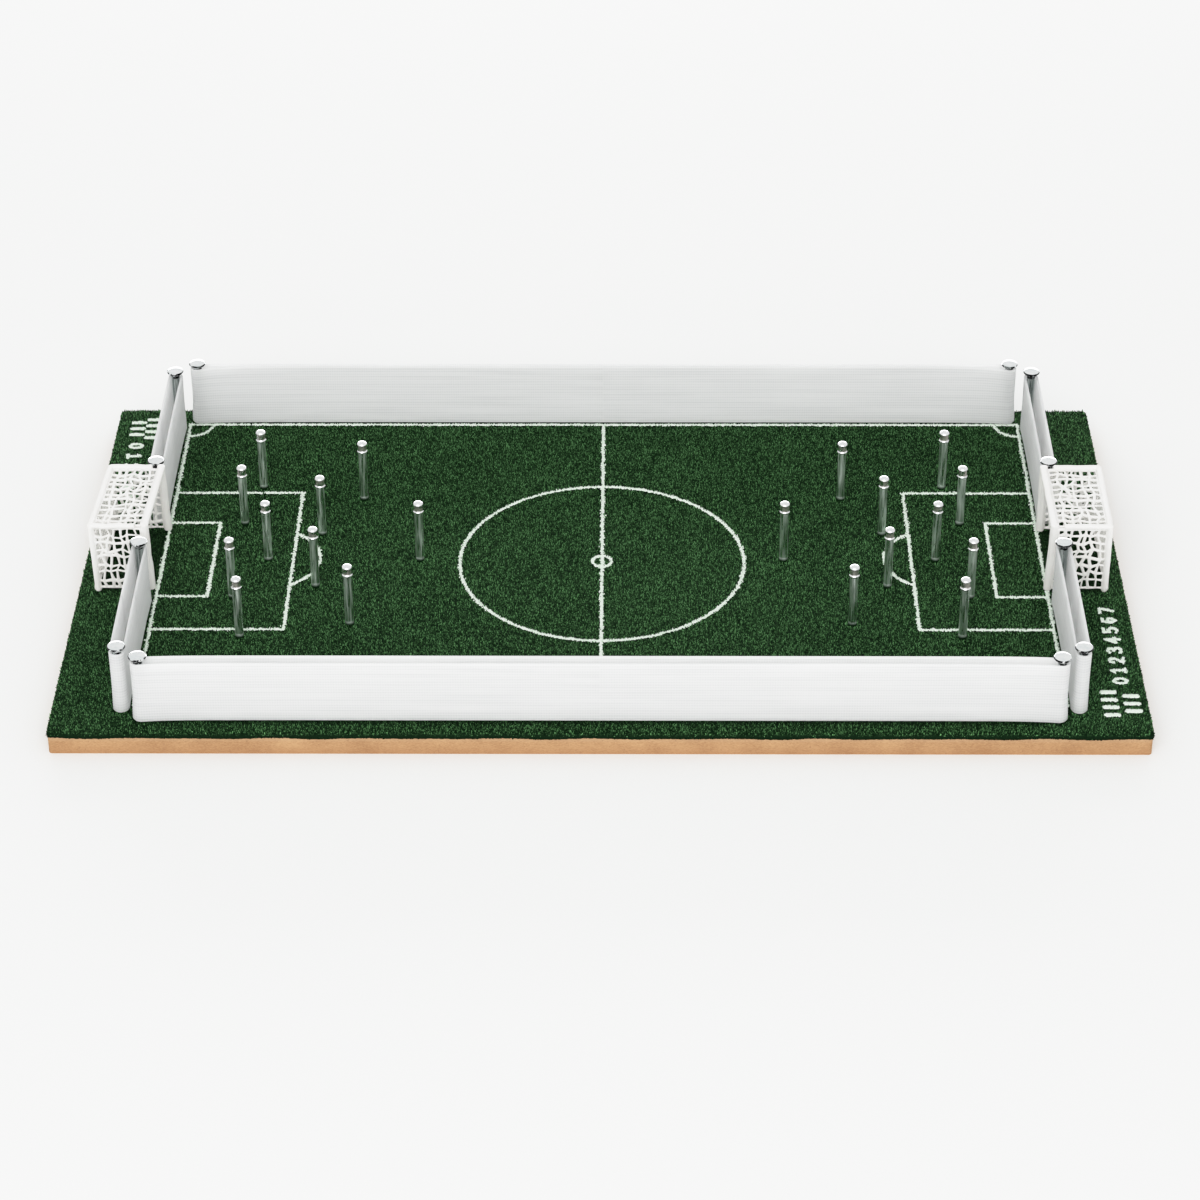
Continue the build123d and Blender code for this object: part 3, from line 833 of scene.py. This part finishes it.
def goal_frame(name, spot, half, deep, tall, material, rng):
    """Two stout posts and a crossbar in front, slimmer posts behind, rods on top and thin rails below."""
    def bar(start, stop, radius, squareness):
        shares = np.linspace(0, 1, 7)
        path = np.array([spot(*(np.array(start) * (1 - t) + np.array(stop) * t)) for t in shares])
        path[1:-1] += rng.normal(0.0, GOAL_WOBBLE, (5, 3))
        return tube(path, radius, squareness)

    post, rear = GOAL_POST, deep - GOAL_REAR_POST
    top = tall - GOAL_ROD
    beam = tall - GOAL_CROSSBAR
    bars = [bar((post, GOAL_POST - half, beam), (post, half - GOAL_POST, beam), GOAL_CROSSBAR, 4.0)]
    behind, corner = deep - GOAL_ROD, half - GOAL_ROD
    bars.append(bar((behind, -corner, top), (behind, corner, top), GOAL_ROD, 3.0))
    low = GOAL_LOW
    bars.append(bar((behind, -corner, low), (behind, corner, low), GOAL_RAIL, 2.0))
    for way in (-1, 1):
        edge = way * (half - GOAL_ROD)
        front_post = way * (half - GOAL_POST)
        rear_post = way * (half - GOAL_REAR_POST)
        bars.append(bar((post, front_post, 0.3 * MM), (post, front_post, tall - 0.4 * MM), GOAL_POST, 4.0))
        bars.append(bar((rear, rear_post, 0.8 * MM), (rear, rear_post, tall - 0.8 * MM), GOAL_REAR_POST, 3.0))
        bars.append(bar((GOAL_ROD_START, edge, top), (behind, edge, top), GOAL_ROD, 2.2))
        bars.append(bar((post, edge, low), (rear, edge, low), GOAL_RAIL, 2.0))
        bars.append(bar((rear, rear_post, 0.0), (rear, rear_post, 2.4 * MM), GOAL_FOOT, 2.0))
    piece = moulded(f"{name}_moulding", bars, 0.4 * MM, 4, material)
    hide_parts(name)
    return piece


def goal_net(name, knots, material, rng):
    """A moulded net: uneven strands both ways through knots that wander."""
    columns, rows = knots.shape[:2]
    radii = rng.uniform(NET_THIN, NET_THICK, (columns, rows))
    strands = [tube(knots[i], radii[i]) for i in range(columns)]
    strands += [tube(knots[:, j], radii[:, j]) for j in range(rows)]
    piece = moulded(f"{name}_strands", strands, 0.32 * MM, 2, material)
    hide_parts(f"{name}_net")
    return piece


def make_goals():
    """Both goals in place of their plain solids, leaning and twisted a little as the real ones are."""
    material = plastic_finish()
    for side, way in (("left", -1), ("right", 1)):
        rng = np.random.default_rng(20 + way)
        name = f"{side}_goal"
        low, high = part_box(f"{name}_frame")
        front = low.x if way > 0 else high.x
        middle, half = (low.y + high.y) / 2, (high.y - low.y) / 2
        deep, tall = high.x - low.x, high.z - low.z

        def spot(depth, across, height):
            shares = np.clip([depth / deep, (across / half + 1) / 2, height / tall], 0.0, 1.0)
            moved = GOAL_CORNERS[side]
            for share in shares:
                moved = moved[0] * (1 - share) + moved[1] * share
            return np.array([front + way * (depth + moved), middle + across, low.z + height])

        goal_frame(f"{name}_frame", spot, half, deep, tall, material, rng)
        inner, outer = 2 * GOAL_POST, deep - 2 * GOAL_ROD
        reach, foot, roof = half - 2 * GOAL_ROD, GOAL_LOW, tall - 2 * GOAL_ROD
        skin = GOAL_ROD

        def inward(share):
            return inner + (outer - inner) * share

        def upward(share):
            return foot + (roof - foot) * share

        panels = {
            "top": (NET_TOP, lambda u, v: (inward(u), reach * (2 * v - 1), tall - skin * 1.5)),
            "rear": (NET_REAR, lambda u, v: (deep - skin, reach * (2 * u - 1), upward(v))),
            "front_side": (NET_SIDE, lambda u, v: (inward(u), skin - half, upward(v))),
            "back_side": (NET_SIDE, lambda u, v: (inward(u), half - skin, upward(v))),
        }
        for panel, ((columns, rows), place) in panels.items():
            u, v = np.meshgrid(np.linspace(0, 1, columns + 1), np.linspace(0, 1, rows + 1), indexing="ij")
            inside = (u > 0) & (u < 1) & (v > 0) & (v < 1)
            u = u + inside * rng.uniform(-NET_WANDER, NET_WANDER, u.shape) / columns
            v = v + inside * rng.uniform(-NET_WANDER, NET_WANDER, v.shape) / rows
            knots = np.array([spot(*place(a, b)) for a, b in zip(u.ravel(), v.ravel())]).reshape(*u.shape, 3)
            goal_net(f"{name}_{panel}", knots, material, rng)


def make_board():
    """The fibreboard keeps its own shape, with edges eased as by sandpaper."""
    board = nodes["base_board"]
    board.data.materials.clear()
    board.data.materials.append(fibreboard_finish())
    eased_edges = board.modifiers.new("eased edges", "BEVEL")
    eased_edges.width = 1.0 * MM
    eased_edges.segments = 3
    eased_edges.limit_method = "ANGLE"
    eased_edges.angle_limit = math.radians(50)


def area_light(name, spot, target, size, power):
    lamp = bpy.data.lights.new(name, "AREA")
    lamp.shape = "RECTANGLE"
    lamp.size, lamp.size_y = size
    lamp.energy = power
    light = bpy.data.objects.new(name, lamp)
    light.location = spot
    light.rotation_euler = (Vector(target) - Vector(spot)).to_track_quat("-Z", "Y").to_euler()
    bpy.context.scene.collection.objects.link(light)


def make_studio():
    """Pale paper, a white room all round, two soft boxes in front and a low one behind."""
    scene = bpy.context.scene
    mesh = bpy.data.meshes.new("studio_floor")
    reach = 6.0
    corners = [(-reach, -reach, 0), (reach, -reach, 0), (reach, reach, 0), (-reach, reach, 0)]
    mesh.from_pydata(corners, [], [(0, 1, 2, 3)])
    mesh.materials.append(floor_finish())
    floor = bpy.data.objects.new("studio_floor", mesh)
    scene.collection.objects.link(floor)
    scene.world = bpy.data.worlds.new("white room")
    scene.world.use_nodes = True
    background = scene.world.node_tree.nodes["Background"]
    background.inputs["Color"].default_value = (0.99, 1.0, 0.99, 1.0)
    background.inputs["Strength"].default_value = ROOM_LIGHT
    area_light("front_softbox", (-0.25, -2.1, 1.7), (0, 0, 0), (2.4, 1.4), FRONT_LIGHT)
    area_light("low_softbox", (0.0, -2.6, 0.75), (0, 0, 0), (3.0, 0.5), LOW_LIGHT)
    area_light("back_softbox", (0.0, 2.2, 0.55), (0, 0.2, 0.03), (2.6, 0.7), BACK_LIGHT)
    view = scene.view_settings
    view.view_transform = "Standard"
    view.use_curve_mapping = True
    shoulder = view.curve_mapping
    shoulder.white_level = (BRIGHTEST, BRIGHTEST, BRIGHTEST)
    curve = shoulder.curves[3]
    curve.points[-1].location = (1.0, SHOULDER[-1][1])
    for bright, shown in SHOULDER[:-1]:
        curve.points.new(bright / BRIGHTEST, shown)
    shoulder.update()


def make_camera():
    """The camera at the photograph's angle: pitch down, a slight yaw and roll."""
    pitch, yaw, roll = (math.radians(a) for a in (CAMERA_PITCH, CAMERA_YAW, CAMERA_ROLL))
    forward = Vector((math.sin(yaw) * math.cos(pitch), math.cos(yaw) * math.cos(pitch), -math.sin(pitch)))
    level = Vector((math.cos(yaw), -math.sin(yaw), 0))
    upright = level.cross(forward)
    right = math.cos(roll) * level + math.sin(roll) * upright
    up = math.cos(roll) * upright - math.sin(roll) * level
    lens = bpy.data.cameras.new("camera")
    lens.sensor_fit = "HORIZONTAL"
    lens.sensor_width = SENSOR
    lens.lens = FOCAL_PIXELS * SENSOR / IMAGE_SIDE
    lens.clip_start, lens.clip_end = 0.05, 50.0
    camera = bpy.data.objects.new("camera", lens)
    turn = Matrix((right, up, -forward)).transposed().to_4x4()
    camera.matrix_world = Matrix.Translation(CAMERA_AT) @ turn
    bpy.context.scene.collection.objects.link(camera)
    bpy.context.scene.camera = camera


make_camera()
make_studio()
make_board()
make_turf()
make_steel()
make_elastics()
make_goals()
